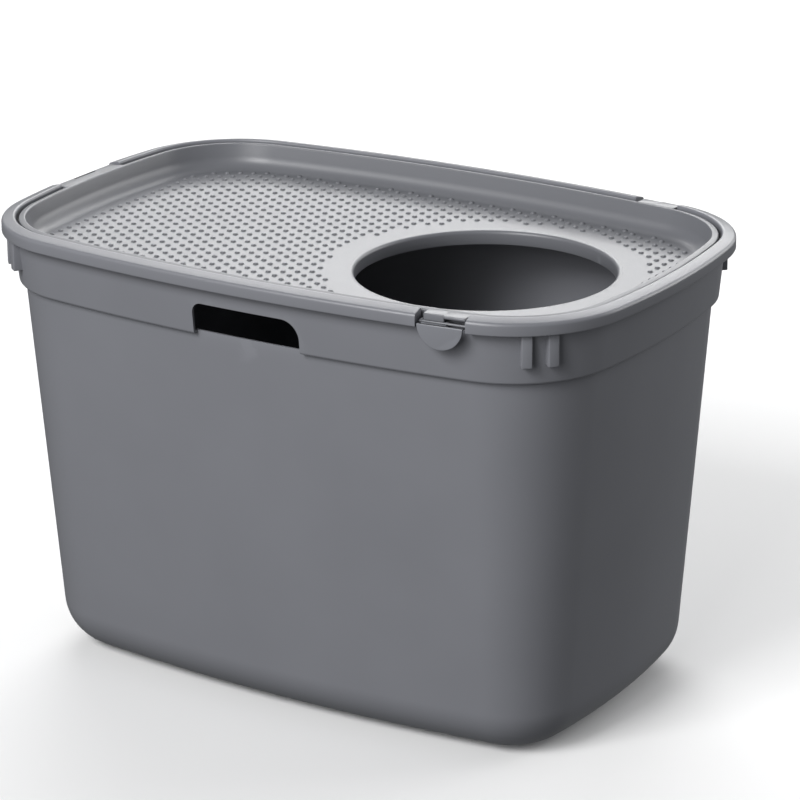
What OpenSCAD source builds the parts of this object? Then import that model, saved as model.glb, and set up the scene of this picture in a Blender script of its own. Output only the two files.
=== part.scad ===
// Top entry litter box: a deep tub with a hinged tray lid that has a round entry hole.
// Origin: centre of the footprint on the ground. +X is the entry end, -X the hinge end,
// -Y the front long side, +Z up. All sizes in millimetres.

/* [Plan outline] */
// Overall length over the rim
length = 590; // [560:2:620]
// Overall width over the rim
width = 388; // [370:2:410]
// Radius of the rim's corners in plan
corner_r = 101; // [98:1:108]
// Direction, seen from a corner's centre, in which a long side's gentle bow begins
long_angle = 82.76; // [82:0.04:83.6]
// Direction in which a short side's gentle bow ends
short_angle = 7.5; // [6.8:0.1:8]

/* [Tub] */
// Overall height, ground to the top of the rim
height = 386; // [350:2:420]
// Thickness of the moulded wall
wall = 2.6; // [2.2:0.1:3]
// Height of the step under the collar, measured down from the top
step_drop = 55.5; // [50:0.5:64]
// Inset of the body's wall just under the step
body_top_inset = 18.3; // [17.5:0.1:20]
// Inset of the body's wall where its slope would meet the ground
body_foot_inset = 42.7; // [36:0.1:44]
// Radius of the large rounding between wall and floor
bottom_r = 44; // [38:0.5:46]
// Inset of the collar right under the rim
collar_top_inset = 9; // [8.5:0.1:9.3]
// Inset of the collar's lower edge
collar_foot_inset = 12.9; // [12:0.1:13.5]
// Radius of the collar's lower edge
step_r = 2.5; // [1.5:0.1:3]

/* [Rim] */
// Height of the rim's outer band
rim_h = 12.5; // [11:0.1:14]
// Width of the rim from its outer face to the lid's groove
rim_w = 12; // [11.8:0.1:12.6]
// Radius of the rim's outer top edge
rim_r = 3; // [2:0.1:4]
// How far the crest, near the rim's inner edge, stands above that edge
rim_crown = 1.8; // [1:0.1:2.4]
// Depth of the inner ledge that carries the lid, down from the top
ledge_drop = 10.3; // [9.8:0.1:10.8]
// Width of that ledge
ledge_w = 5; // [4.2:0.1:5.6]

/* [Handholds] */
// Where the handhold starts, left of the middle
hand_left = 48; // [40:1:60]
// Where the handhold ends, right of the middle
hand_right = 53; // [40:1:60]
// Height of the handhold above the step
hand_h = 27.5; // [24:0.5:32]
// Height of the lip that stands along the handhold's lower edge
hand_lip = 2; // [1:0.25:4]
// Corner radius at the handhold's left end
hand_r_left = 9; // [6:0.5:14]
// Corner radius at the handhold's right end
hand_r_right = 16; // [10:0.5:20]

/* [Corner ribs] */
// Angle of the first rib of a corner, seen from the corner's centre
rib_angle_1 = 54; // [52:1:60]
// Angle of the second rib of a corner
rib_angle_2 = 41.5; // [30:0.5:44]
// Width of a rib
rib_w = 8.6; // [6:0.2:10]
// Height of a rib under the rim
rib_h = 27; // [20:1:34]
// Inset of a rib's outer face
rib_inset = 4; // [3:0.2:6]

/* [Lid] */
// Gap between the rim and the lid's lip
lid_gap = 2.5; // [2.2:0.1:3]
// How far the lid's lip lies below the top of the rim
lid_drop = 1.5; // [1:0.1:2]
// Width of the lid's lip
lid_lip_w = 6; // [5.6:0.1:7]
// How far the crest of the lip, along the tray's edge, stands above its outer edge
lid_crown = 0.8; // [0.4:0.1:1.2]
// Thickness of the lid
lid_wall = 2.6; // [2.2:0.1:3]
// Depth of the tray's floor below the lip
lid_depth = 22.2; // [20:0.2:26]
// Radius between the tray's wall and its floor
lid_fillet = 18; // [12:0.5:19]
// Slope of the tray's wall away from upright, in degrees
lid_draft = 11; // [8:1:14]
// Running and seating clearance between lid and tub
seat_gap = 0.3; // [0.2:0.05:0.5]

/* [Studs] */
// Distance between two rows of studs along the lid
stud_pitch = 10.25; // [9.5:0.25:14]
// Distance between two studs of a row
stud_spacing = 12.1; // [11:0.1:16]
// Radius of a stud
stud_r = 2.3; // [1.5:0.1:2.6]
// Height of a stud above the tray's floor
stud_h = 1.5; // [1:0.1:2]
// Place of the middle row of studs, from the middle of the lid
stud_offset = -1.1; // [-4:0.1:4]
// Smallest inset of a stud's middle from the rim's outer face
stud_inset = 34; // [33:0.5:40]
// Width of the plain ring round the entry hole
stud_ring = 24; // [20:1:30]

/* [Entry hole] */
// Distance of the hole's centre from the entry end
entry_from_end = 179.4; // [175:0.2:190]
// Radius of the clear opening
entry_r = 107; // [95:1:110]
// Radius of the rounded edge round the opening
entry_edge_r = 3; // [2.7:0.1:4]
// Height of the turned-down collar below the tray's floor
entry_collar_h = 12; // [8:0.5:16]

/* [Hinge] */
// Inset of the hinge axis from the left end of the rim
hinge_inset = 7; // [6.8:0.05:7.2]
// Depth of the hinge axis below the top of the rim
hinge_drop = 6; // [5.9:0.05:6.2]
// Radius of the hinge rod
rod_r = 2; // [1.6:0.1:2.2]
// Running clearance round the rod
rod_play = 0.06; // [0.03:0.01:0.09]
// Width of the notch in the rim for the lid's tongue
hinge_notch_w = 84; // [76:1:92]
// Depth of the rod's sockets beside the notch
rod_socket = 5; // [4:0.5:7]
// Clearance at each end of the tongue
tongue_play = 1.5; // [1:0.1:2]
// How far the tongue reaches out past the hinge axis
tongue_reach = 2.8; // [2.5:0.1:2.9]
// Length of the slot along the middle of the tongue, over the rod
tongue_slot_w = 31; // [24:1:36]
// Opening of that slot
tongue_slot_t = 2.3; // [1.8:0.1:2.8]
// Outer radius of the lid's knuckles on the rod
knuckle_r = 4.2; // [3.8:0.1:4.4]
// Room under the knuckles in the notch
knuckle_room = 0.8; // [0.5:0.1:1]

/* [Latches] */
// Distance of the latches' middle from the entry end
latch_from_end = 112; // [112:1:125]
// Width of the notch in the rim for a latch
latch_notch_w = 42; // [41:0.5:46]
// Radius of the half-round tab
tab_r = 19.2; // [17:0.2:19.6]
// Thickness of the tab
tab_t = 2.4; // [2:0.1:2.8]
// How far the tab's face stands out from the rim's face
tab_proud = 1.2; // [0.6:0.1:1.4]
// Depth of the tab's upper edge below the top of the rim
tab_drop = 8.8; // [8.6:0.1:9.2]
// Radius of the bar that the tab hangs on
bar_r = 1.1; // [0.9:0.05:1.15]
// Inset of that bar from the rim's face
bar_inset = 6.7; // [6.5:0.05:7]
// Depth of the bar's middle below the top of the rim
bar_drop = 8.8; // [8.6:0.05:9]
// Length of the web that joins the tab to the bar
web_w = 20.9; // [16:0.1:21.5]
// Thickness of the lid's shelf beside the web
shelf_t = 2.6; // [2:0.1:2.8]
// How far the shelf reaches out in front of the bar's middle
shelf_over = 2.7; // [2.4:0.1:3]
// How far the lid's block over the web reaches out in front of the bar's middle
block_over = 1.2; // [0.8:0.1:1.3]
// Room between the bar and that block
block_gap = 0.3; // [0.2:0.05:0.5]

/* [Hidden] */

plastic = [0.49, 0.5, 0.52];
rod_grey = [0.42, 0.43, 0.45];

half_l = length / 2;
half_w = width / 2;
big = 1000;

// The outline is four bows joined by four corner arcs, all tangent. Every ring of the
// box is this outline drawn inwards by an inset. Both bows' radii follow from the angles.
across = half_l - corner_r;
along = half_w - corner_r;
bow_sum = cos(long_angle) * sin(short_angle) - (1 - cos(short_angle)) * (1 - sin(long_angle));
long_d = (across * sin(short_angle) - along * (1 - cos(short_angle))) / bow_sum;
short_d = (along * cos(long_angle) - across * (1 - sin(long_angle))) / bow_sum;
long_bow_r = corner_r + long_d;
short_bow_r = corner_r + short_d;
long_c = [0, half_w - long_bow_r];
short_c = [half_l - short_bow_r, 0];
corner_c = long_c + long_d * toward(long_angle);

// Where the swept walls end and the flat middle of a floor begins
hub = 2;
sweep_end = corner_r - hub;
plate_inset = corner_r - 4 * hub;

step_z = height - step_drop;
rim_z = height - rim_h;
ledge_z = height - ledge_drop;
ledge_inset = rim_w + ledge_w;
ledge_edge = 1.2;
ledge_foot_z = rim_z - 4;

lid_inset = rim_w + lid_gap;
lid_top = height - lid_drop;
lid_seat_z = ledge_z + seat_gap;
lid_floor_z = lid_top - lid_depth;
lip_outer_r = 1.2;
lip_inner_r = 1.5;

hinge_x = -half_l + hinge_inset;
hinge_z = height - hinge_drop;
tongue_w = hinge_notch_w - 2 * tongue_play;
tongue_t = 3;

entry_x = half_l - entry_from_end;
latch_x = half_l - latch_from_end;
latch_angle = asin(latch_x / long_bow_r);
bar_z = height - bar_drop;
bar_play = 0.05;
tab_top_z = height - tab_drop;
cup_end = 25;
snap_gap = 0.3;

function toward(a) = [cos(a), sin(a)];
function arc(c, r, a0, a1, n) = [for (i = [0:n]) c + r * toward(a0 + (a1 - a0) * i / n)];

// A quarter of the outline at an inset, from the +X axis to the +Y axis
function quarter(inset) = concat(
    arc(short_c, short_bow_r - inset, 0, short_angle, 4),
    arc(corner_c, corner_r - inset, short_angle + 8, long_angle - 8, 4),
    arc(long_c, long_bow_r - inset, long_angle, 90, 6));

function flip(p, sx, sy, from, step, to) = [for (i = [from:step:to]) [p[i].x * sx, p[i].y * sy]];

function outline(inset) =
    let (q = quarter(inset), last = len(q) - 1)
    concat(q, flip(q, -1, 1, last - 1, -1, 0),
        flip(q, -1, -1, 1, 1, last), flip(q, 1, -1, last - 1, -1, 1));

function whole(v) = [for (x = v) floor(x)];
function part_of(v, n) = [for (x = v) floor((x - floor(x)) * n) / n];

// Moves in three ever finer steps, so that neighbouring sweeps meet exactly
module place(v) {
    fine = part_of(v, 1000);
    translate(whole(v)) translate(fine) translate(v - whole(v) - fine) children();
}

// Sweeps a profile, drawn as inset against height, along a stretch of the outline
module sweep(centre, radius, from, turn, facets) {
    place(centre) rotate_extrude(start = from, angle = turn, $fn = facets)
        place([radius, 0]) mirror([1, 0]) children();
}

module along_long_side() {
    sweep(long_c, long_bow_r, long_angle, 180 - 2 * long_angle, 180) children();
}

module along_short_side(half_angle = short_angle) {
    sweep(short_c, short_bow_r, -half_angle, 2 * half_angle, 180) children();
}

module along_corner() {
    sweep(corner_c, corner_r, short_angle, long_angle - short_angle, 72) children();
}

module all_round() {
    for (turn = [0, 180]) rotate(turn) {
        along_long_side() children();
        along_short_side() children();
    }
    for (mx = [0, 1], my = [0, 1])
        mirror([mx, 0, 0]) mirror([0, my, 0]) along_corner() children();
}

module front_and_back() {
    for (my = [0, 1]) mirror([0, my, 0]) children();
}

// A latch's own frame: x along the rim, y inwards from the rim's face, z up
module at_latch() {
    translate([long_bow_r * sin(latch_angle), long_bow_r * (1 - cos(latch_angle)) - half_w, 0])
        rotate(latch_angle) children();
}

// Tub
body_slope = (body_foot_inset - body_top_inset) / step_z;
body_lean = atan(body_slope);
bottom_inset = body_foot_inset - body_slope * bottom_r * (1 - sin(body_lean)) + bottom_r * cos(body_lean);
collar_slope = (collar_foot_inset - collar_top_inset) / (rim_z - step_z);
function collar_inner(z) = collar_top_inset + wall + (rim_z - z) * collar_slope;

module tub_profile() {
    edge = 1;
    inner_r = 2;
    tilt = atan(rim_crown / (rim_w - rim_r - inner_r));
    polygon(concat(
        [[sweep_end, 0]],
        arc([bottom_inset, bottom_r], bottom_r, 270, 180 + body_lean, 8),
        [[body_top_inset, step_z]],
        arc([collar_foot_inset + step_r, step_z + step_r], step_r, 270, 180, 3),
        [[collar_top_inset, rim_z]],
        arc([edge, rim_z + edge], edge, 270, 180, 2),
        arc([rim_r, height - rim_r - rim_crown], rim_r, 180, 90 + tilt, 4),
        [[rim_w - inner_r, height - inner_r] + inner_r * toward(90 + tilt)],
        arc([rim_w - inner_r, height - inner_r], inner_r, 90, 0, 3),
        [[rim_w, ledge_z], [ledge_inset, ledge_z], [ledge_inset, ledge_z - ledge_edge]],
        [[collar_inner(ledge_foot_z), ledge_foot_z], [collar_inner(step_z + wall), step_z + wall]],
        [[body_top_inset + wall, step_z + wall]],
        arc([bottom_inset, bottom_r], bottom_r - wall, 180 + body_lean, 270, 8),
        [[sweep_end, wall]]));
}

module hand_shape(low) {
    intersection() {
        union() {
            translate([-hand_left, low])
                square([hand_left + hand_right, step_z + hand_h - low - hand_r_right]);
            hand_crown();
        }
        translate([-big, low]) square([2 * big, big]);
    }
}

// The round-cornered upper part of the handhold
module hand_crown() {
    top = step_z + hand_h;
    base = top - hand_r_right;
    translate([-hand_left + hand_r_left, base])
        square([hand_left + hand_right - hand_r_left - hand_r_right, hand_r_right]);
    translate([-hand_left, base]) square([hand_r_left, hand_r_right - hand_r_left]);
    translate([-hand_left + hand_r_left, top - hand_r_left]) circle(hand_r_left, $fn = 48);
    intersection() {
        translate([hand_right - hand_r_right, base]) circle(hand_r_right, $fn = 48);
        translate([hand_right - hand_r_right, base]) square(2 * hand_r_right);
    }
}

module cut_along_y(y0, y1) {
    translate([0, y1, 0]) rotate([90, 0, 0]) linear_extrude(y1 - y0) children();
}

module handhold() {
    reach = body_top_inset + 4 * wall;
    // Through the body's wall, above a low lip
    cut_along_y(-half_w - 1, -half_w + reach) hand_shape(step_z + hand_lip);
    // The collar and its step are cut away down to the body's face
    intersection() {
        cut_along_y(-half_w - 1, -half_w + reach) hand_shape(step_z - 2 * wall);
        rotate(180) along_long_side() translate([-1, step_z - 3 * wall])
            square([body_top_inset + 1.3, hand_h + 6 * wall]);
    }
}

module latch_notch() {
    at_latch() translate([-latch_notch_w / 2, -4, rim_z - 0.1])
        cube([latch_notch_w, rim_w + 4.6, rim_h + 2]);
}

lug_w = 12;
lug_h = 2.6;
lug_inset = 5.3;
nose_w = 8;
nose_h = 2.4;

// The lug on the collar that the tab's snap nose passes
module latch_lug() {
    at_latch() translate([-lug_w / 2, lug_inset, rim_z - 0.1 - lug_h])
        cube([lug_w, collar_top_inset + wall / 2 - lug_inset, lug_h]);
}

module hinge_notch() {
    notch_angle = asin(hinge_notch_w / 2 / short_bow_r);
    rotate(180) along_short_side(notch_angle)
        translate([-1, hinge_z - knuckle_r - knuckle_room]) square([rim_w + 1.2, rim_h + 2]);
}

module along_hinge(r, from, to) {
    translate([hinge_x, from, hinge_z]) rotate([-90, 0, 0]) cylinder(h = to - from, r = r, $fn = 48);
}

rod_half = hinge_notch_w / 2 + rod_socket - 0.5;

module corner_ribs() {
    for (mx = [0, 1], my = [0, 1], a = [rib_angle_1, rib_angle_2])
        mirror([mx, 0, 0]) mirror([0, my, 0])
            translate([corner_c.x, corner_c.y, rim_z - rib_h]) rotate(a)
                translate([corner_r - collar_foot_inset, -rib_w / 2, 0])
                    cube([collar_foot_inset - rib_inset, rib_w, rib_h + 1]);
}

module tub() {
    color(plastic) difference() {
        union() {
            all_round() tub_profile();
            linear_extrude(wall) polygon(outline(plate_inset));
            corner_ribs();
            front_and_back() latch_lug();
        }
        front_and_back() {
            handhold();
            latch_notch();
        }
        hinge_notch();
        along_hinge(rod_r, -rod_half - 0.5, rod_half + 0.5);
    }
}

module hinge_rod() {
    color(rod_grey) along_hinge(rod_r, -rod_half, rod_half);
}

// Lid
lip_tilt = atan(lid_crown / (lid_lip_w - lip_outer_r - lip_inner_r));
lip_c = [lid_inset + lid_lip_w - lip_inner_r, lid_top - lip_inner_r];
wall_head = lip_c + lip_inner_r * toward(lid_draft);
wall_run = (wall_head.y - lid_floor_z - lid_fillet * (1 - sin(lid_draft))) / cos(lid_draft);
tray_c = [wall_head.x + wall_run * sin(lid_draft) + lid_fillet * cos(lid_draft), lid_floor_z + lid_fillet];
seat_run = (wall_head.y - lid_wall * sin(lid_draft) - lid_seat_z) / cos(lid_draft);
seat_inset = wall_head.x - lid_wall * cos(lid_draft) + seat_run * sin(lid_draft);

module lid_profile() {
    polygon(concat(
        [[lid_inset, lid_seat_z]],
        arc([lid_inset + lip_outer_r, lid_top - lid_crown - lip_outer_r], lip_outer_r, 180, 90 + lip_tilt, 3),
        [lip_c + lip_inner_r * toward(90 + lip_tilt)],
        arc(lip_c, lip_inner_r, 90, lid_draft, 3),
        arc(tray_c, lid_fillet, 180 + lid_draft, 270, 6),
        [[sweep_end, lid_floor_z], [sweep_end, lid_floor_z - lid_wall]],
        arc(tray_c, lid_fillet + lid_wall, 270, 180 + lid_draft, 6),
        [[seat_inset, lid_seat_z]]));
}

module entry_collar() {
    edge_c = [entry_r + entry_edge_r, lid_floor_z - entry_edge_r];
    lap = 2;
    translate([entry_x, 0, 0]) rotate_extrude($fn = 120) polygon(concat(
        [[entry_r, lid_floor_z - entry_collar_h]],
        arc(edge_c, entry_edge_r, 180, 90, 5),
        [[edge_c.x + lap, lid_floor_z], [edge_c.x + lap, lid_floor_z - lid_wall]],
        [[edge_c.x, lid_floor_z - lid_wall], [entry_r + lid_wall, lid_floor_z - lid_wall - 0.8]],
        [[entry_r + lid_wall, lid_floor_z - entry_collar_h]]));
}

// How far a point lies inside the outline
function inset_at(p) =
    let (q = [abs(p.x), abs(p.y)], d = q - corner_c, a = atan2(d.y, d.x))
    a > long_angle ? long_bow_r - norm(q - long_c) :
    a < short_angle ? min(short_bow_r - norm(q - short_c), long_bow_r - norm(q - long_c)) :
    corner_r - norm(d);

// Rows of studs all over the tray's floor, every other row shifted by half a step
module studs() {
    rows = floor((half_l - stud_inset) / stud_pitch);
    per_side = ceil(half_w / stud_spacing);
    for (i = [-rows:rows], k = [-per_side:per_side]) {
        p = [i * stud_pitch + stud_offset, (k + (i % 2 == 0 ? 0.5 : 0)) * stud_spacing];
        if (inset_at(p) > stud_inset && norm(p - [entry_x, 0]) > entry_r + stud_ring)
            translate([p.x, p.y, lid_floor_z - 0.5]) cylinder(h = stud_h + 0.5, r = stud_r, $fn = 16);
    }
}

module tongue() {
    top_z = hinge_z + knuckle_r;
    out_x = hinge_x - tongue_reach;
    root_x = -half_l + lid_inset + lid_lip_w - lip_inner_r;
    strip_w = 0.9;
    difference() {
        union() {
            translate([out_x, -tongue_w / 2, top_z - tongue_t]) cube([root_x - out_x, tongue_w, tongue_t]);
            along_hinge(knuckle_r, -tongue_w / 2, tongue_w / 2);
        }
        translate([out_x + strip_w, -tongue_slot_w / 2, top_z - 2 * tongue_t])
            cube([tongue_slot_t, tongue_slot_w, 3 * tongue_t]);
        translate([out_x - tongue_t, -tongue_slot_w / 2, hinge_z - 2 * knuckle_r])
            cube([root_x - out_x, tongue_slot_w, 2 * knuckle_r + knuckle_r - tongue_t]);
    }
}

// Along the notch: the stub, the web with the lid's block over it, then the lid's shelf
web_left = -17;
web_gap = 1.2;
ear_w = 2;
bar_end = web_left - web_gap - ear_w;
block_start = -16.2;
shelf_start = 0.7;
shelf_end = 19.5;

// The block and shelf on the lid that reach out over a latch, with the bar that the tab hangs on
module latch_shelf() {
    shelf_top = lid_top - 0.3;
    block_z = bar_z + bar_r + block_gap;
    root = lid_inset + 2;
    step = shelf_over - block_over;
    at_latch() {
        translate([0, bar_inset, block_z]) linear_extrude(shelf_top - block_z) polygon([
            [block_start, -block_over], [shelf_start, -block_over],
            [shelf_start, root - bar_inset], [block_start, root - bar_inset]]);
        translate([0, bar_inset, shelf_top - shelf_t]) linear_extrude(shelf_t) polygon([
            [shelf_start - 1, -block_over], [shelf_start, -block_over],
            [shelf_start + step, -shelf_over], [shelf_end, -shelf_over],
            [shelf_end, root - bar_inset], [shelf_start - 1, root - bar_inset]]);
        translate([shelf_end - ear_w, bar_inset, bar_z - bar_r])
            cube([ear_w, root - bar_inset, shelf_top - bar_z + bar_r - 0.5]);
        translate([bar_end, bar_inset, bar_z - bar_r]) cube([ear_w, root - bar_inset, 2 * bar_r]);
        translate([bar_end, bar_inset, bar_z]) rotate([0, 90, 0])
            cylinder(h = shelf_end - bar_end, r = bar_r, $fn = 32);
    }
}

module lid() {
    color(plastic) difference() {
        union() {
            difference() {
                union() {
                    all_round() lid_profile();
                    translate([0, 0, lid_floor_z - lid_wall])
                        linear_extrude(lid_wall) polygon(outline(plate_inset));
                }
                translate([entry_x, 0, lid_floor_z - 2 * lid_wall])
                    cylinder(h = 4 * lid_wall, r = entry_r + entry_edge_r, $fn = 120);
            }
            entry_collar();
            studs();
            tongue();
            front_and_back() latch_shelf();
        }
        along_hinge(rod_r + rod_play, -big, big);
    }
}

// Latch: a half-round tab that hangs in front of the collar and clips onto the lid's bar
module latch() {
    web_t = 1.8;
    cup_r = bar_r + bar_play + 1.1;
    far = 2 * cup_r;
    color(plastic) at_latch() {
        difference() {
            union() {
                // The half-round tab
                translate([0, tab_t - tab_proud, tab_top_z]) rotate([90, 0, 0]) linear_extrude(tab_t)
                    intersection() {
                        circle(tab_r, $fn = 96);
                        translate([-tab_r, -tab_r]) square([2 * tab_r, tab_r]);
                    }
                // The web
                translate([web_left, 0, tab_top_z - web_t]) cube([web_w, bar_inset, web_t]);
                // The cup that grips the bar from in front, below and behind
                intersection() {
                    translate([web_left, bar_inset, bar_z]) rotate([0, 90, 0])
                        cylinder(h = web_w, r = cup_r, $fn = 48);
                    translate([web_left - 1, bar_inset, bar_z]) rotate([90, 0, 90])
                        linear_extrude(web_w + 2) polygon([
                            [0, 0], [-far, 0], [-far, -far], [far, -far], far * toward(cup_end)]);
                }
                // The snap nose
                translate([-nose_w / 2, 0, rim_z - lug_h - nose_h - 0.8])
                    cube([nose_w, lug_inset - snap_gap, nose_h]);
            }
            translate([web_left - 1, bar_inset, bar_z]) rotate([0, 90, 0])
                cylinder(h = web_w + 2, r = bar_r + bar_play, $fn = 32);
        }
    }
}

module latch_front() {
    latch();
}

module latch_rear() {
    mirror([0, 1, 0]) latch();
}

tub();
hinge_rod();
lid();
latch_front();
latch_rear();
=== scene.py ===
"""Looks of the top entry litter box: tub, studded lid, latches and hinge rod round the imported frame."""

import math

import bmesh
import bpy
from mathutils import Matrix, Vector


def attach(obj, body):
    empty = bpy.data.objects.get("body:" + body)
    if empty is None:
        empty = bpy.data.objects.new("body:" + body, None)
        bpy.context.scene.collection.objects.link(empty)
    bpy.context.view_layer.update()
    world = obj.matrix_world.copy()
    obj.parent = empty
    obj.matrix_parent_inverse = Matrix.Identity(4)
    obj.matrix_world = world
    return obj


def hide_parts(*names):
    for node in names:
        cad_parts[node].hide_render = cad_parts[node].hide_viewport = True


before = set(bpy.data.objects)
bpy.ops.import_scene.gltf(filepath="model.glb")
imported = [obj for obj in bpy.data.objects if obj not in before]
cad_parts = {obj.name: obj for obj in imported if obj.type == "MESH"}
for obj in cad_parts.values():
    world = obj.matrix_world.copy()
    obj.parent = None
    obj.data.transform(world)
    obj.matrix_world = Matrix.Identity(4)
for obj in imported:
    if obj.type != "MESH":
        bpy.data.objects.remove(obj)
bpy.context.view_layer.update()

# Shapes are built in millimetres and scaled to metres when they are finished.
MM = 0.001

# The plan outline: four bows and four corner arcs, all tangent, as in the part's source
HALF_L, HALF_W, CORNER_R = 295.0, 194.0, 101.0
LONG_ANGLE, SHORT_ANGLE = math.radians(82.76), math.radians(7.5)
ACROSS, ALONG = HALF_L - CORNER_R, HALF_W - CORNER_R
BOW_SUM = (
    math.cos(LONG_ANGLE) * math.sin(SHORT_ANGLE)
    - (1 - math.cos(SHORT_ANGLE)) * (1 - math.sin(LONG_ANGLE))
)
LONG_D = (ACROSS * math.sin(SHORT_ANGLE) - ALONG * (1 - math.cos(SHORT_ANGLE))) / BOW_SUM
SHORT_D = (ALONG * math.cos(LONG_ANGLE) - ACROSS * (1 - math.sin(LONG_ANGLE))) / BOW_SUM
LONG_R, SHORT_R = CORNER_R + LONG_D, CORNER_R + SHORT_D
LONG_C = (0.0, HALF_W - LONG_R)
SHORT_C = (HALF_L - SHORT_R, 0.0)
CORNER_C = (LONG_D * math.cos(LONG_ANGLE), LONG_C[1] + LONG_D * math.sin(LONG_ANGLE))

# Tub: insets are taken inwards from the rim's outer face, and heights from the floor
HEIGHT, WALL = 386.0, 2.6
STEP_Z, STEP_R = 330.5, 2.5
BODY_TOP, BODY_FOOT, BOTTOM_R = 18.3, 42.7, 44.0
COLLAR_TOP, COLLAR_FOOT = 9.0, 12.9
RIM_W, RIM_Z, RIM_CROWN = 12.0, 373.5, 1.8
RIM_R, RIM_INNER_R, RIM_FOOT_R = 3.0, 2.0, 1.0
LEDGE_Z, LEDGE_INSET, LEDGE_T, LEDGE_FOOT_Z = 375.7, 17.0, 1.2, 369.5
# Where the flat ends of a profile are closed, well inside the outline
MIDDLE = 99.0

# Handholds, seen from the front
HAND_LEFT, HAND_RIGHT, HAND_TOP = -48.0, 53.0, 358.0
HAND_R_LEFT, HAND_R_RIGHT = 9.0, 16.0
# Lower edge of the opening through the wall, and of what is missing from the step in front of it
HAND_SILL, FACE_SILL = 332.5, 325.3
# How deep, how high and half how wide the missing piece may be, and where both cutters start and end
FACE_INSET, FACE_TOP, FACE_HALF, HAND_Y = 18.6, 372.0, 70.0, (-200.0, -164.0)
# No cut reaches below this height. Rings of points under it keep the tall walls' shading even.
CUT_Z, RING_STEP = 318.0, 8.0

# How far cutters reach past the rim: outwards, inwards of its inner face, and up
OUTSIDE, PAST_RIM, ABOVE = -2.0, 0.2, 400.0

# Hinge at the left end
HINGE_X, HINGE_Z, ROD_R, KNUCKLE_R = -288.0, 380.0, 2.0, 4.2
ROD_HALF, ROD_SOFT, ROD_PLAY = 46.5, 0.5, 0.06
HINGE_NOTCH_HALF, KNUCKLE_ROOM = 42.0, 0.8

# Ribs under the rim, two at each corner
RIB_ANGLES, RIB_HALF, RIB_SOFT = (54.0, 41.5), 4.3, 0.9
RIB_ROOT, RIB_FACE = CORNER_R - 16.0, CORNER_R - 4.0
RIB_LOW_Z, RIB_HIGH_Z = RIM_Z - 27, RIM_Z + 1

# Latches. A latch's own frame has x along the rim, y inwards from the rim's face and z up.
LATCH_X = 183.0
LATCH_ANGLE = math.asin(LATCH_X / LONG_R)
LATCH_O = (LONG_R * math.sin(LATCH_ANGLE), LONG_R * (1 - math.cos(LATCH_ANGLE)) - HALF_W, 0.0)
LATCH_FRAME = Matrix.Translation(LATCH_O) @ Matrix.Rotation(LATCH_ANGLE, 4, "Z")
NOTCH_HALF, NOTCH_Z = 21.0, 373.4
BAR_INSET, BAR_Z, BAR_R, BAR_START = 6.7, 377.2, 1.1, -20.2
LUG_LOW, LUG_HIGH = (-6.0, 5.3, 370.8), (6.0, 10.3, 373.5)
NOSE_LOW, NOSE_HIGH = (-4.0, 0.0, 367.7), (4.0, 5.0, 370.1)
TAB_R, TAB_PROUD, TAB_T, TAB_SOFT = 19.2, 1.2, 2.4, 0.55
WEB_START, WEB_W, WEB_T, WEB_SOFT = -17.0, 20.9, 1.8, 0.15
# The web starts inside the tab and ends inside the cup's wall
WEB_IN_TAB, WEB_OFF_BAR = 0.4, 0.5
CUP_PLAY, CUP_T, CUP_END = 0.05, 1.1, 385

# Lid
LID_INSET, LID_TOP, LID_FLOOR = 14.5, 384.5, 362.3
LID_FILLET, LID_DRAFT, SEAT_GAP = 14.0, math.radians(11), 0.3
LIP_W, LIP_CROWN, LIP_OUTER_R, LIP_INNER_R = 6.0, 0.8, 1.2, 1.5
ENTRY_X, ENTRY_R, ENTRY_EDGE = 115.6, 107.0, 3.0
ENTRY_DEPTH, ENTRY_LAP, ENTRY_SOFT = 12.0, 1.5, 0.5
# Heights of the small slopes at the collar's foot, inside and outside, and under its lap
FOOT_IN, FOOT_OUT, LAP_SLOPE = 0.8, 0.6, 0.8
TONGUE_HALF, TONGUE_OUT, TONGUE_T, TONGUE_FALL = 40.5, 2.8, 3.0, 1.0
TONGUE_LAP, TONGUE_RISE = 0.5, 0.2
SLOT_HALF, SLOT_OUT, SLOT_IN = 15.5, 1.9, 0.4

# Block, shelf and bar over a latch, in the latch's own frame. OUT is how far a face stands out past the bar.
SHELF_DROP, SHELF_T, SHELF_ROOT, SHELF_SOFT = 0.3, 2.6, 16.5, 0.9
BLOCK_START, BLOCK_OUT, BLOCK_ROOM = -16.2, 1.2, 0.3
SHELF_START, SHELF_END, SHELF_OUT = 0.7, 19.5, 2.7
SLANT_IN, SLANT_OUT, MEET = 0.6, 1.1, 0.2
EAR_W, EAR_DROP, EAR_SOFT = 2.0, 0.4, 0.3
BAR_SHORT, BAR_SOFT = 0.1, 0.2

# Rounding of the small edges that have none of their own, and how many sides the round forms have
SOFT = 0.5
ENTRY_SIDES, ROD_SIDES, BAR_SIDES = 160, 48, 32

# Studs on the lid's floor: columns along x, every other one shifted by half a step in y
STUD_START, STUD_PITCH, STUD_SPACING = -247.1, 10.25, 12.1
STUD_R, STUD_H, STUD_SIDES = 2.3, 1.5, 14
STUD_INSET, STUD_RING = 34.0, 24.0
STUD_PROFILE = [
    (STUD_R + 0.35, -0.1),
    (STUD_R, 0.25),
    (STUD_R - 0.25, 0.85),
    (STUD_R - 0.75, 1.3),
    (STUD_R - 1.4, STUD_H),
]

SAME = Matrix.Identity(4)
MIRROR_X, MIRROR_Y = Matrix.Diagonal((-1, 1, 1, 1)), Matrix.Diagonal((1, -1, 1, 1))


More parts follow.
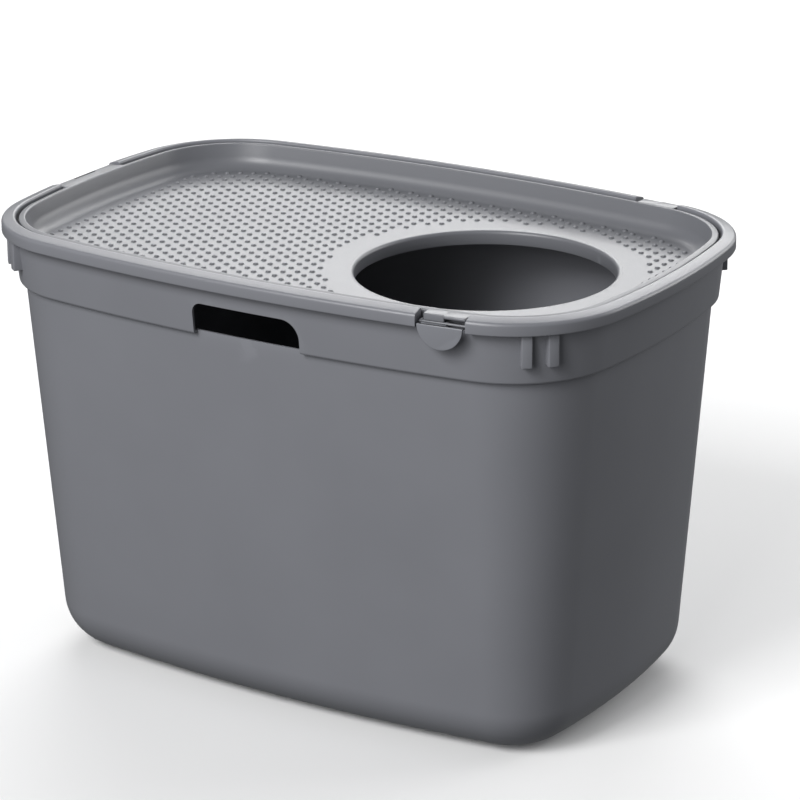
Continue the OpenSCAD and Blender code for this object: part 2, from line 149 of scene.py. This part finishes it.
# Points and faces
def quarter():
    """Stations of the outline from the +X axis to the +Y axis: centre, radius and direction."""
    rows = []
    for centre, radius, a0, a1, n in (
        (SHORT_C, SHORT_R, 0.0, SHORT_ANGLE, 8),
        (CORNER_C, CORNER_R, SHORT_ANGLE, LONG_ANGLE, 30),
        (LONG_C, LONG_R, LONG_ANGLE, math.pi / 2, 16),
    ):
        for i in range(n):
            a = a0 + (a1 - a0) * i / n
            rows.append((centre[0], centre[1], radius, math.cos(a), math.sin(a)))
    rows.append((LONG_C[0], LONG_C[1], LONG_R, 0.0, 1.0))
    return rows


def flipped(rows, sx, sy):
    """Stations mirrored in x, in y or in both."""
    return [(cx * sx, cy * sy, radius, u * sx, v * sy) for cx, cy, radius, u, v in rows]


def stations():
    """Stations all round the outline."""
    q = quarter()
    return q + flipped(q[-2::-1], -1, 1) + flipped(q[1:], -1, -1) + flipped(q[-2:0:-1], 1, -1)


STATIONS = stations()


def at(station, inset, z):
    """The point of a station that lies inset from the outline."""
    cx, cy, radius, u, v = station
    return (cx + (radius - inset) * u, cy + (radius - inset) * v, z)


def arc(cx, cz, r, a0, a1, n):
    """Points of an arc from angle a0 to a1, in degrees, in n steps."""
    angles = [math.radians(a0 + (a1 - a0) * i / n) for i in range(n + 1)]
    return [(cx + r * math.cos(a), cz + r * math.sin(a)) for a in angles]


def ring_faces(rings, points, first=0, looped=False):
    """Four-sided faces between rings of points; looped joins the last ring to the first."""
    faces = []
    for i in range(rings if looped else rings - 1):
        here, there = first + i * points, first + (i + 1) % rings * points
        for k in range(points):
            after = (k + 1) % points
            faces.append((here + k, here + after, there + after, there + k))
    return faces


# Meshes
def new_object(name, verts, faces):
    """A mesh object in the scene."""
    mesh = bpy.data.meshes.new(name)
    mesh.from_pydata(verts, [], faces)
    obj = bpy.data.objects.new(name, mesh)
    bpy.context.scene.collection.objects.link(obj)
    return obj


def clean(obj):
    """Merges points that coincide and turns all faces outwards."""
    bm = bmesh.new()
    bm.from_mesh(obj.data)
    bmesh.ops.remove_doubles(bm, verts=bm.verts, dist=1e-4)
    bmesh.ops.recalc_face_normals(bm, faces=bm.faces)
    bm.to_mesh(obj.data)
    bm.free()
    return obj


def lofted(name, rings):
    """A solid through rings of as many points each, with the first and the last ring closed."""
    points = len(rings[0])
    last = (len(rings) - 1) * points
    faces = ring_faces(len(rings), points)
    faces += [tuple(range(points)), tuple(range(last, last + points))[::-1]]
    return clean(new_object(name, [point for ring in rings for point in ring], faces))


def swept(name, profile):
    """A solid whose profile of (inset, height) runs all round the outline."""
    return lofted(name, [[at(station, inset, z) for station in STATIONS] for inset, z in profile])


def segment(name, polygon, centre, radius, middle, half_width, n=24):
    """A closed polygon of (inset, height) swept along part of one bow, about the angle middle."""
    half = math.asin(half_width / radius)
    rings = []
    for i in range(n + 1):
        a = middle - half + 2 * half * i / n
        rings.append([
            (centre[0] + (radius - inset) * math.cos(a), centre[1] + (radius - inset) * math.sin(a), z)
            for inset, z in polygon
        ])
    return lofted(name, rings)


def prism(name, outline_xz, y0, y1):
    """A polygon drawn in x and z, run along y."""
    return lofted(name, [[(x, y, z) for x, z in outline_xz] for y in (y0, y1)])


def soften(obj, round_r):
    """Rounds every edge of a plain shape."""
    bm = bmesh.new()
    bm.from_mesh(obj.data)
    bmesh.ops.bevel(bm, geom=bm.edges[:], offset=round_r, segments=3, profile=0.5, affect="EDGES")
    bm.to_mesh(obj.data)
    bm.free()
    return obj


def slab(name, outline_xy, z0, z1, round_r):
    """A flat polygon in plan, raised from z0 to z1, with its edges rounded."""
    return soften(lofted(name, [[(x, y, z) for x, y in outline_xy] for z in (z0, z1)]), round_r)


def block(name, low, high, round_r=0.0, segments=3):
    """A block between two corners, with its edges rounded."""
    bm = bmesh.new()
    bmesh.ops.create_cube(bm, size=1.0)
    for v in bm.verts:
        v.co = Vector(low[i] if v.co[i] < 0 else high[i] for i in range(3))
    if round_r:
        bmesh.ops.bevel(bm, geom=bm.edges[:], offset=round_r, segments=segments, profile=0.5, affect="EDGES")
    obj = new_object(name, [], [])
    bm.to_mesh(obj.data)
    bm.free()
    return obj


def turned(name, profile, centre, axis, n):
    """A closed profile of (radius, position along the axis) turned round that axis."""
    verts = []
    for i in range(n):
        a = 2 * math.pi * i / n
        for r, h in profile:
            c, s = r * math.cos(a), r * math.sin(a)
            local = {"Z": (c, s, h), "Y": (c, h, s), "X": (h, c, s)}[axis]
            verts.append(tuple(local[k] + centre[k] for k in range(3)))
    return clean(new_object(name, verts, ring_faces(n, len(profile), looped=True)))


def rod(name, r, start, end, centre, axis, soft, n):
    """A round bar with softened ends."""
    profile = [(0.0, start)] + arc(r - soft, start + soft, soft, 270, 360, 3)
    profile += arc(r - soft, end - soft, soft, 0, 90, 3) + [(0.0, end)]
    return turned(name, profile, centre, axis, n)


def transformed(obj, matrix):
    """The object with its mesh moved, turned or mirrored."""
    obj.data.transform(matrix)
    return clean(obj)


def combine(target, cutter, operation):
    """Applies a boolean of the cutter to the target and removes the cutter."""
    mod = target.modifiers.new("cut", "BOOLEAN")
    mod.operation = operation
    mod.solver = "EXACT"
    mod.object = cutter
    evaluated = target.evaluated_get(bpy.context.evaluated_depsgraph_get())
    mesh = bpy.data.meshes.new_from_object(evaluated)
    target.modifiers.clear()
    old = target.data
    target.data = mesh
    bpy.data.meshes.remove(old)
    bpy.data.objects.remove(cutter)
    return target


def join(target, *others):
    """Puts the others' meshes into the target."""
    bm = bmesh.new()
    bm.from_mesh(target.data)
    for other in others:
        bm.from_mesh(other.data)
        bpy.data.objects.remove(other)
    bm.to_mesh(target.data)
    bm.free()
    return target


def finish_shape(obj, name, sharp_angle=32):
    """Smooth shading with sharp edges kept, and millimetres to metres."""
    bm = bmesh.new()
    bm.from_mesh(obj.data)
    limit = math.radians(sharp_angle)
    for face in bm.faces:
        face.smooth = True
    for edge in bm.edges:
        edge.smooth = len(edge.link_faces) == 2 and edge.calc_face_angle(0.0) < limit
    bm.to_mesh(obj.data)
    bm.free()
    obj.data.transform(Matrix.Scale(MM, 4))
    obj.name = name
    obj.data.name = name
    return obj


# Tub
BODY_SLOPE = (BODY_FOOT - BODY_TOP) / STEP_Z
BODY_LEAN = math.atan(BODY_SLOPE)
BOTTOM_INSET = (
    BODY_FOOT
    - BODY_SLOPE * BOTTOM_R * (1 - math.sin(BODY_LEAN))
    + BOTTOM_R * math.cos(BODY_LEAN)
)
COLLAR_SLOPE = (COLLAR_FOOT - COLLAR_TOP) / (RIM_Z - STEP_Z)


def body_inset(z):
    """Inset of the wall's outer face at a height."""
    return BODY_TOP + BODY_SLOPE * (STEP_Z - z)


def collar_inner(z):
    """Inset of the collar's inner face at a height."""
    return COLLAR_TOP + WALL + (RIM_Z - z) * COLLAR_SLOPE


def tub_profile():
    """The tub's section, from the middle of its underside up the outer face and down the inner one."""
    lean = math.degrees(BODY_LEAN)
    tilt = math.degrees(math.atan(RIM_CROWN / (RIM_W - RIM_R - RIM_INNER_R)))
    rings = (CUT_Z - 2 * RING_STEP, CUT_Z - RING_STEP, CUT_Z)
    rows = [(MIDDLE, 0.0)]
    rows += arc(BOTTOM_INSET, BOTTOM_R, BOTTOM_R, 270, 180 + lean, 20)
    rows += [(body_inset(z), z) for z in (*rings, STEP_Z)]
    rows += arc(COLLAR_FOOT + STEP_R, STEP_Z + STEP_R, STEP_R, 270, 183, 6)
    rows += [(COLLAR_TOP, RIM_Z)]
    rows += arc(RIM_FOOT_R, RIM_Z + RIM_FOOT_R, RIM_FOOT_R, 270, 180, 4)
    rows += arc(RIM_R, HEIGHT - RIM_R - RIM_CROWN, RIM_R, 180, 90 + tilt, 10)
    rows += arc(RIM_W - RIM_INNER_R, HEIGHT - RIM_INNER_R, RIM_INNER_R, 90 + tilt, 0, 12)
    rows += [(RIM_W, LEDGE_Z), (LEDGE_INSET, LEDGE_Z), (LEDGE_INSET, LEDGE_Z - LEDGE_T)]
    rows += [(collar_inner(z), z) for z in (LEDGE_FOOT_Z, STEP_Z + WALL)]
    rows += [(BODY_TOP + WALL, STEP_Z + WALL)]
    rows += [(body_inset(z) + WALL, z) for z in rings[::-1]]
    rows += arc(BOTTOM_INSET, BOTTOM_R, BOTTOM_R - WALL, 180 + lean, 270, 16)
    rows += [(MIDDLE, WALL)]
    return rows


def hand_outline(sill):
    """The handhold's opening, seen from the front, down to a sill."""
    rows = [(HAND_LEFT, sill), (HAND_RIGHT, sill)]
    rows += arc(HAND_RIGHT - HAND_R_RIGHT, HAND_TOP - HAND_R_RIGHT, HAND_R_RIGHT, 0, 90, 12)
    rows += arc(HAND_LEFT + HAND_R_LEFT, HAND_TOP - HAND_R_LEFT, HAND_R_LEFT, 90, 180, 10)
    return rows


def hand_cutters():
    """The opening through the wall, and the piece of collar and step that is missing in front of it."""
    through = prism("through", hand_outline(HAND_SILL), *HAND_Y)
    face = prism("face", hand_outline(FACE_SILL), *HAND_Y)
    polygon = [(OUTSIDE, CUT_Z), (FACE_INSET, CUT_Z), (FACE_INSET, FACE_TOP), (OUTSIDE, FACE_TOP)]
    band = segment("band", polygon, (0.0, -LONG_C[1]), LONG_R, math.pi * 1.5, FACE_HALF, 40)
    return through, combine(face, band, "INTERSECT")


def latch_notch():
    """What the rim gives way to at the front latch."""
    low, high = (-NOTCH_HALF, 2 * OUTSIDE, NOTCH_Z), (NOTCH_HALF, RIM_W + PAST_RIM, ABOVE)
    return transformed(block("notch", low, high), LATCH_FRAME)


def hinge_notch():
    """What the rim gives way to at the hinge."""
    floor_z, inner = HINGE_Z - KNUCKLE_R - KNUCKLE_ROOM, RIM_W + PAST_RIM
    polygon = [(OUTSIDE, floor_z), (inner, floor_z), (inner, ABOVE), (OUTSIDE, ABOVE)]
    return segment("hinge", polygon, (-SHORT_C[0], 0.0), SHORT_R, math.pi, HINGE_NOTCH_HALF)


def rib_block(angle):
    """One rib under the rim, with its edges softened."""
    rib = block("rib", (RIB_ROOT, -RIB_HALF, RIB_LOW_Z), (RIB_FACE, RIB_HALF, RIB_HIGH_Z), RIB_SOFT)
    corner = Matrix.Translation((CORNER_C[0], CORNER_C[1], 0))
    return transformed(rib, corner @ Matrix.Rotation(math.radians(angle), 4, "Z"))


def make_tub():
    """The tub with its handholds and notches cut, and its ribs and lugs added."""
    tub = swept("tub", tub_profile())
    for mirror in (SAME, MIRROR_Y):
        for cutter in hand_cutters():
            combine(tub, transformed(cutter, mirror), "DIFFERENCE")
        combine(tub, transformed(latch_notch(), mirror), "DIFFERENCE")
    combine(tub, hinge_notch(), "DIFFERENCE")
    parts = [
        transformed(rib_block(angle), end @ side)
        for end in (SAME, MIRROR_X)
        for side in (SAME, MIRROR_Y)
        for angle in RIB_ANGLES
    ]
    for mirror in (SAME, MIRROR_Y):
        parts.append(transformed(block("lug", LUG_LOW, LUG_HIGH, SOFT), mirror @ LATCH_FRAME))
    join(tub, *parts)
    return finish_shape(tub, "litter_box_tub")


# Lid
LIP_C = (LID_INSET + LIP_W - LIP_INNER_R, LID_TOP - LIP_INNER_R)
WALL_HEAD = (LIP_C[0] + LIP_INNER_R * math.cos(LID_DRAFT), LIP_C[1] + LIP_INNER_R * math.sin(LID_DRAFT))
WALL_RUN = (WALL_HEAD[1] - LID_FLOOR - LID_FILLET * (1 - math.sin(LID_DRAFT))) / math.cos(LID_DRAFT)
TRAY_C = (
    WALL_HEAD[0] + WALL_RUN * math.sin(LID_DRAFT) + LID_FILLET * math.cos(LID_DRAFT),
    LID_FLOOR + LID_FILLET,
)


def lid_profile():
    """The lid's section: its underside to the seat, the lip, and down the tray's wall to the floor."""
    draft = math.degrees(LID_DRAFT)
    tilt = math.degrees(math.atan(LIP_CROWN / (LIP_W - LIP_OUTER_R - LIP_INNER_R)))
    seat_z = LEDGE_Z + SEAT_GAP
    run = (WALL_HEAD[1] - WALL * math.sin(LID_DRAFT) - seat_z) / math.cos(LID_DRAFT)
    rows = [(MIDDLE, LID_FLOOR - WALL)]
    rows += arc(TRAY_C[0], TRAY_C[1], LID_FILLET + WALL, 270, 180 + draft, 12)
    rows += [(WALL_HEAD[0] - WALL * math.cos(LID_DRAFT) + run * math.sin(LID_DRAFT), seat_z)]
    rows += [(LID_INSET, seat_z)]
    rows += arc(LID_INSET + LIP_OUTER_R, LID_TOP - LIP_CROWN - LIP_OUTER_R, LIP_OUTER_R, 180, 90 + tilt, 6)
    rows += arc(LIP_C[0], LIP_C[1], LIP_INNER_R, 90 + tilt, draft, 9)
    rows += arc(TRAY_C[0], TRAY_C[1], LID_FILLET, 180 + draft, 270, 16)
    rows += [(MIDDLE, LID_FLOOR)]
    return rows


def entry_hole():
    """The hole that is cut for the entry collar."""
    edge, reach = ENTRY_R + ENTRY_EDGE + ENTRY_LAP, 20.0
    profile = [(r, LID_FLOOR + h) for r, h in ((0.0, -reach), (edge, -reach), (edge, reach), (0.0, reach))]
    return turned("hole", profile, (ENTRY_X, 0, 0), "Z", ENTRY_SIDES)


def entry_collar():
    """The turned-down collar of the entry hole, with its rounded edge."""
    edge, outer, foot = ENTRY_R + ENTRY_EDGE, ENTRY_R + WALL, LID_FLOOR - ENTRY_DEPTH
    profile = [(ENTRY_R + ENTRY_SOFT, foot), (ENTRY_R, foot + FOOT_IN)]
    profile += arc(edge, LID_FLOOR - ENTRY_EDGE, ENTRY_EDGE, 180, 90, 10)
    profile += [(edge + ENTRY_LAP, LID_FLOOR), (edge + ENTRY_LAP, LID_FLOOR - WALL)]
    profile += [(outer, LID_FLOOR - WALL - LAP_SLOPE), (outer, foot + FOOT_OUT), (outer - ENTRY_SOFT, foot)]
    return turned("collar", profile, (ENTRY_X, 0, 0), "Z", ENTRY_SIDES)


def outline_inset(x, y):
    """How far a point lies inside the outline."""
    x, y = abs(x), abs(y)
    from_long = LONG_R - math.hypot(x - LONG_C[0], y - LONG_C[1])
    from_short = SHORT_R - math.hypot(x - SHORT_C[0], y - SHORT_C[1])
    angle = math.atan2(y - CORNER_C[1], x - CORNER_C[0])
    if angle > LONG_ANGLE or x <= CORNER_C[0] and y >= CORNER_C[1]:
        return from_long
    if angle < SHORT_ANGLE:
        return min(from_short, from_long)
    return CORNER_R - math.hypot(x - CORNER_C[0], y - CORNER_C[1])


def stud_places():
    """Staggered places all over the floor, but for a plain ring round the entry hole."""
    columns, rows = math.ceil((HALF_L - STUD_START) / STUD_PITCH), math.ceil(HALF_W / STUD_SPACING)
    for column in range(columns):
        x = STUD_START + STUD_PITCH * column
        shift = 0.5 if column % 2 == 0 else 0.0
        for row in range(-rows, rows + 1):
            y = (row + shift) * STUD_SPACING
            if outline_inset(x, y) >= STUD_INSET and math.hypot(x - ENTRY_X, y) >= ENTRY_R + STUD_RING:
                yield x, y


def studs():
    """All the low round studs as one mesh."""
    turns = [2 * math.pi * i / STUD_SIDES for i in range(STUD_SIDES)]
    verts, faces = [], []
    for x, y in stud_places():
        base = len(verts)
        for r, h in STUD_PROFILE:
            verts += [(x + r * math.cos(a), y + r * math.sin(a), LID_FLOOR + h) for a in turns]
        faces += ring_faces(len(STUD_PROFILE), STUD_SIDES, base)
        faces.append(tuple(range(len(verts) - STUD_SIDES, len(verts))))
    return new_object("studs", verts, faces)


def tongue_parts():
    """The hinge tongue with its slot and bore, and the two knuckles round the rod."""
    top, outer = HINGE_Z + KNUCKLE_R, HINGE_X - TONGUE_OUT
    root = -HALF_L + LID_INSET + LIP_W - LIP_INNER_R + TONGUE_LAP
    low = top - TONGUE_T
    outline = [(outer, low), (root, low), (root, top + TONGUE_RISE), (outer, top - TONGUE_FALL)]
    tongue = soften(prism("tongue", outline, -TONGUE_HALF, TONGUE_HALF), SOFT)
    slot_low = (HINGE_X - SLOT_OUT, -SLOT_HALF, top - 2 * TONGUE_T)
    slot_high = (HINGE_X + SLOT_IN, SLOT_HALF, top + TONGUE_T)
    combine(tongue, block("slot", slot_low, slot_high), "DIFFERENCE")
    hinge, bore_r, reach = (HINGE_X, 0, HINGE_Z), ROD_R + ROD_PLAY, 60.0
    bore = [(0.0, -reach), (bore_r, -reach), (bore_r, reach), (0.0, reach)]
    combine(tongue, turned("bore", bore, hinge, "Y", ROD_SIDES), "DIFFERENCE")
    parts = [tongue]
    rim = KNUCKLE_R - TONGUE_FALL - SOFT
    for low, high in ((-TONGUE_HALF, -SLOT_HALF), (SLOT_HALF, TONGUE_HALF)):
        knuckle = [(bore_r, low), (bore_r, high)]
        knuckle += arc(rim, high - SOFT, SOFT, 90, 0, 3) + arc(rim, low + SOFT, SOFT, 0, -90, 3)
        parts.append(turned("knuckle", knuckle, hinge, "Y", ROD_SIDES))
    return parts


def shelf_parts():
    """The block over a latch's web, the shelf beside it, and the bar that the latch hangs on."""
    top, bar_low, bar_high = LID_TOP - SHELF_DROP, BAR_Z - BAR_R, BAR_Z + BAR_R
    block_y, shelf_y = BAR_INSET - BLOCK_OUT, BAR_INSET - SHELF_OUT
    block_end, corner = SHELF_START + MEET, SHELF_START - SLANT_IN
    block_plan = [
        (BLOCK_START, block_y),
        (block_end, block_y),
        (block_end, SHELF_ROOT),
        (BLOCK_START, SHELF_ROOT),
    ]
    shelf_plan = [
        (corner, block_y + MEET),
        (SHELF_START + SLANT_OUT, shelf_y),
        (SHELF_END, shelf_y),
        (SHELF_END, SHELF_ROOT),
        (corner, SHELF_ROOT),
    ]
    ear_low, ear_high = (SHELF_END - EAR_W, BAR_INSET, bar_low), (SHELF_END, SHELF_ROOT, top - EAR_DROP)
    stub_low, stub_high = (BAR_START, BAR_INSET, bar_low), (BAR_START + EAR_W, SHELF_ROOT, bar_high)
    bar_end, bar_line = SHELF_END - BAR_SHORT, (0, BAR_INSET, BAR_Z)
    return [
        slab("block", block_plan, bar_high + BLOCK_ROOM, top, SOFT),
        slab("shelf", shelf_plan, top - SHELF_T, top, SHELF_SOFT),
        block("ear", ear_low, ear_high, EAR_SOFT, segments=2),
        block("stub", stub_low, stub_high, EAR_SOFT, segments=2),
        rod("bar", BAR_R, BAR_START, bar_end, bar_line, "X", BAR_SOFT, BAR_SIDES),
    ]


def make_lid():
    """The lid with its entry hole cut, and its collar, studs, hinge tongue and latch shelves added."""
    lid = swept("lid", lid_profile())
    combine(lid, entry_hole(), "DIFFERENCE")
    parts = [entry_collar(), studs(), *tongue_parts()]
    for mirror in (SAME, MIRROR_Y):
        parts += [transformed(part, mirror @ LATCH_FRAME) for part in shelf_parts()]
    join(lid, *parts)
    return finish_shape(lid, "litter_box_lid")


# Latches
def latch_tab():
    """The half-round plate, with its edges softened."""
    outline = arc(0.0, BAR_Z, TAB_R, 180, 360, 60)
    tab = prism("tab", outline, -TAB_PROUD, TAB_T - TAB_PROUD)
    bm = bmesh.new()
    bm.from_mesh(tab.data)
    bmesh.ops.dissolve_limit(bm, angle_limit=0.01, verts=bm.verts, edges=bm.edges)
    rims = [edge for edge in bm.edges if edge.calc_face_angle(0.0) > math.radians(60)]
    bmesh.ops.bevel(
        bm, geom=rims, offset=TAB_SOFT, segments=3, profile=0.5, affect="EDGES", clamp_overlap=True
    )
    bm.to_mesh(tab.data)
    bm.free()
    return tab


def latch_cup():
    """The open cup that snaps round the lid's bar."""
    outer = arc(BAR_INSET, BAR_Z, BAR_R + CUP_PLAY + CUP_T, 180, CUP_END, 28)
    inner = arc(BAR_INSET, BAR_Z, BAR_R + CUP_PLAY, CUP_END, 180, 24)
    return lofted("cup", [[(x, y, z) for y, z in outer + inner] for x in (WEB_START, WEB_START + WEB_W)])


def make_latch(name, mirror):
    """A tab that hangs by its web from the cup, with a nose for the tub's lug behind it."""
    latch = latch_tab()
    web_low = (WEB_START, WEB_IN_TAB - TAB_PROUD, BAR_Z - WEB_T)
    web_high = (WEB_START + WEB_W, BAR_INSET - BAR_R - WEB_OFF_BAR, BAR_Z)
    web = block("web", web_low, web_high, WEB_SOFT, segments=2)
    join(latch, web, latch_cup(), block("nose", NOSE_LOW, NOSE_HIGH, SOFT))
    transformed(latch, mirror @ LATCH_FRAME)
    return finish_shape(latch, name, sharp_angle=40)


tub = make_tub()
lid = make_lid()
latch_front = make_latch("litter_box_latch_front", SAME)
latch_rear = make_latch("litter_box_latch_rear", MIRROR_Y)
plain_rod = rod("rod", ROD_R, -ROD_HALF, ROD_HALF, (HINGE_X, 0, HINGE_Z), "Y", ROD_SOFT, ROD_SIDES)
hinge_rod = finish_shape(plain_rod, "litter_box_hinge_rod")


# Materials. Mottling and gloss spread over the middle of their noise.
NOISE_LOW, NOISE_HIGH = 0.3, 0.7
MOTTLE_SCALE, MOTTLE = 9.0, 0.03
# Painted highlight: edges are lighter where the mesh is pointed, from the start value to the full one
EDGE_START, EDGE_FULL, EDGE_GAIN, EDGE_SHARE = 0.52, 0.60, 1.25, 0.35
# In metres: the shading's rounding of edges and the depth of the grain
EDGE_RADIUS, GRAIN_DEPTH = 0.0006, 0.0002
GLOSS_SPREAD, PLASTIC_IOR = 0.04, 1.5


def plastic(name, colour, roughness, grain, grain_scale):
    """Moulded plastic: an even tone with faint mottling, a fine moulded grain and a painted highlight that
    lightens pointed edges.
    """
    mat = bpy.data.materials.new(name)
    mat.use_nodes = True
    nodes, links = mat.node_tree.nodes, mat.node_tree.links
    bsdf = nodes["Principled BSDF"]
    coords = nodes.new("ShaderNodeTexCoord")

    def noise(scale, detail, rough):
        """Noise that is fixed to the object."""
        node = nodes.new("ShaderNodeTexNoise")
        node.inputs["Scale"].default_value = scale
        node.inputs["Detail"].default_value = detail
        node.inputs["Roughness"].default_value = rough
        links.new(coords.outputs["Object"], node.inputs["Vector"])
        return node

    def ramp(source, start, start_colour, end, end_colour):
        """A colour that runs evenly from one value of the source to another."""
        node = nodes.new("ShaderNodeValToRGB")
        for element, position, c in zip(node.color_ramp.elements, (start, end), (start_colour, end_colour)):
            element.position = position
            element.color = (c[0], c[1], c[2], 1.0)
        links.new(source, node.inputs["Fac"])
        return node

    broad = noise(MOTTLE_SCALE, 3.0, 0.5)
    darker, lighter = [c * (1 - MOTTLE) for c in colour], [c * (1 + MOTTLE) for c in colour]
    tone = ramp(broad.outputs["Fac"], NOISE_LOW, darker, NOISE_HIGH, lighter)
    geometry = nodes.new("ShaderNodeNewGeometry")
    # Painted highlight: pointed edges get a lighter base colour, standing in for the glints on the rounded
    # edges.
    painted_edge_highlight = ramp(geometry.outputs["Pointiness"], EDGE_START, (0, 0, 0), EDGE_FULL, (1, 1, 1))
    share = nodes.new("ShaderNodeMath")
    share.operation = "MULTIPLY"
    share.inputs[1].default_value = EDGE_SHARE
    mix = nodes.new("ShaderNodeMix")
    mix.data_type = "RGBA"
    mix.inputs["B"].default_value = (*[min(1.0, c * EDGE_GAIN) for c in colour], 1.0)
    links.new(painted_edge_highlight.outputs["Color"], share.inputs[0])
    links.new(share.outputs[0], mix.inputs["Factor"])
    links.new(tone.outputs["Color"], mix.inputs["A"])
    links.new(mix.outputs["Result"], bsdf.inputs["Base Color"])

    speckle = noise(grain_scale, 2.0, 0.6)
    gloss = nodes.new("ShaderNodeMapRange")
    gloss.inputs["From Min"].default_value = NOISE_LOW
    gloss.inputs["From Max"].default_value = NOISE_HIGH
    gloss.inputs["To Min"].default_value = roughness - GLOSS_SPREAD
    gloss.inputs["To Max"].default_value = roughness + GLOSS_SPREAD
    links.new(speckle.outputs["Fac"], gloss.inputs["Value"])
    links.new(gloss.outputs["Result"], bsdf.inputs["Roughness"])

    bevel = nodes.new("ShaderNodeBevel")
    bevel.samples = 4
    bevel.inputs["Radius"].default_value = EDGE_RADIUS
    fine = nodes.new("ShaderNodeBump")
    fine.inputs["Strength"].default_value = grain
    fine.inputs["Distance"].default_value = GRAIN_DEPTH
    links.new(speckle.outputs["Fac"], fine.inputs["Height"])
    links.new(bevel.outputs["Normal"], fine.inputs["Normal"])
    links.new(fine.outputs["Normal"], bsdf.inputs["Normal"])
    bsdf.inputs["IOR"].default_value = PLASTIC_IOR
    return mat


# Colour, roughness, and strength and scale of the grain
body_plastic = plastic("body_plastic", (0.177, 0.181, 0.199), 0.34, 0.16, 1400)
lid_plastic = plastic("lid_plastic", (0.145, 0.149, 0.163), 0.37, 0.14, 1400)
latch_plastic = plastic("latch_plastic", (0.180, 0.185, 0.204), 0.34, 0.14, 1500)
rod_plastic = plastic("rod_plastic", (0.12, 0.124, 0.130), 0.38, 0.08, 1500)

for piece, body, slot, node, material in (
    (tub, "box", "body_plastic", "tub", body_plastic),
    (hinge_rod, "box", "rod_plastic", "hinge_rod", rod_plastic),
    (lid, "cover", "lid_plastic", "lid", lid_plastic),
    (latch_front, "front_latch", "latch_plastic", "latch_front", latch_plastic),
    (latch_rear, "rear_latch", "latch_plastic", "latch_rear", latch_plastic),
):
    piece.data.materials.clear()
    piece.data.materials.append(material)
    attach(piece, body)
    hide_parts(node)


# Floor
scene = bpy.context.scene
FLOOR_HALF = 9.0
corners = [(x * FLOOR_HALF, y * FLOOR_HALF, 0) for x, y in ((-1, -1), (1, -1), (1, 1), (-1, 1))]
floor = new_object("floor", corners, [(0, 1, 2, 3)])
paper = bpy.data.materials.new("pale_floor")
paper.use_nodes = True
paper.node_tree.nodes["Principled BSDF"].inputs["Base Color"].default_value = (0.86, 0.86, 0.86, 1)
paper.node_tree.nodes["Principled BSDF"].inputs["Roughness"].default_value = 0.9
floor.data.materials.append(paper)
floor.visible_diffuse = False
floor.visible_glossy = False


# Light
LIGHT_DISTANCE, LIGHT_TARGET = 3.6, Vector((0, 0, 0.3))


def light_from(name, azimuth, elevation, wide, tall, radiance):
    """A softbox that faces the box from a direction and looks some degrees wide and tall from there."""
    a, e = math.radians(azimuth), math.radians(elevation)
    direction = Vector((math.cos(e) * math.cos(a), math.cos(e) * math.sin(a), math.sin(e)))
    place = LIGHT_TARGET + LIGHT_DISTANCE * direction
    width, height = (2 * LIGHT_DISTANCE * math.tan(math.radians(angle / 2)) for angle in (wide, tall))
    light = bpy.data.lights.new(name, "AREA")
    light.shape = "RECTANGLE"
    light.size, light.size_y = width, height
    light.energy = radiance * math.pi * width * height
    obj = bpy.data.objects.new(name, light)
    scene.collection.objects.link(obj)
    obj.location = place
    obj.rotation_euler = (LIGHT_TARGET - place).to_track_quat("-Z", "Y").to_euler()
    obj.visible_camera = False


# Azimuth, elevation, width and height in degrees, and radiance
light_from("key", 258, 40, 25, 20, 14.0)
light_from("front", 275, 20, 25, 40, 3.9)
light_from("front_low", 257, 24, 25, 16, 3.6)
light_from("right", 45, 20, 25, 40, 2.7)
light_from("right_back", 60, 12, 20, 24, 4.1)
light_from("side", 80, 20, 20, 36, 2.4)
light_from("window", 114, 26, 34, 14, 5.9)
light_from("upper", 122, 41, 36, 9, 5.6)
light_from("backdrop", 125, 19, 60, 10, 1.5)
light_from("left_window", 140, 32, 20, 12, 1.7)
light_from("overhead", 120, 50, 40, 20, 1.2)

world = bpy.data.worlds.new("studio")
world.use_nodes = True
world.node_tree.nodes["Background"].inputs["Color"].default_value = (0.96, 0.98, 1.0, 1)
world.node_tree.nodes["Background"].inputs["Strength"].default_value = 0.15
scene.world = world


# Camera, fitted to the photograph
AZIMUTH, ELEVATION, ROLL = 31.9098, 19.6605, -0.3832
CAMERA_PLACE, SENSOR, LENS = (1.432323, -2.247392, 1.179928), 36.0, 151.02

camera = bpy.data.cameras.new("camera")
camera.sensor_width = SENSOR
camera.lens = LENS
camera.clip_end = 50.0
cam = bpy.data.objects.new("camera", camera)
scene.collection.objects.link(cam)
cam.matrix_world = (
    Matrix.Translation(CAMERA_PLACE)
    @ Matrix.Rotation(math.radians(AZIMUTH), 4, "Z")
    @ Matrix.Rotation(math.radians(90 - ELEVATION), 4, "X")
    @ Matrix.Rotation(math.radians(ROLL), 4, "Z")
)
scene.camera = cam
scene.view_settings.view_transform = "Standard"
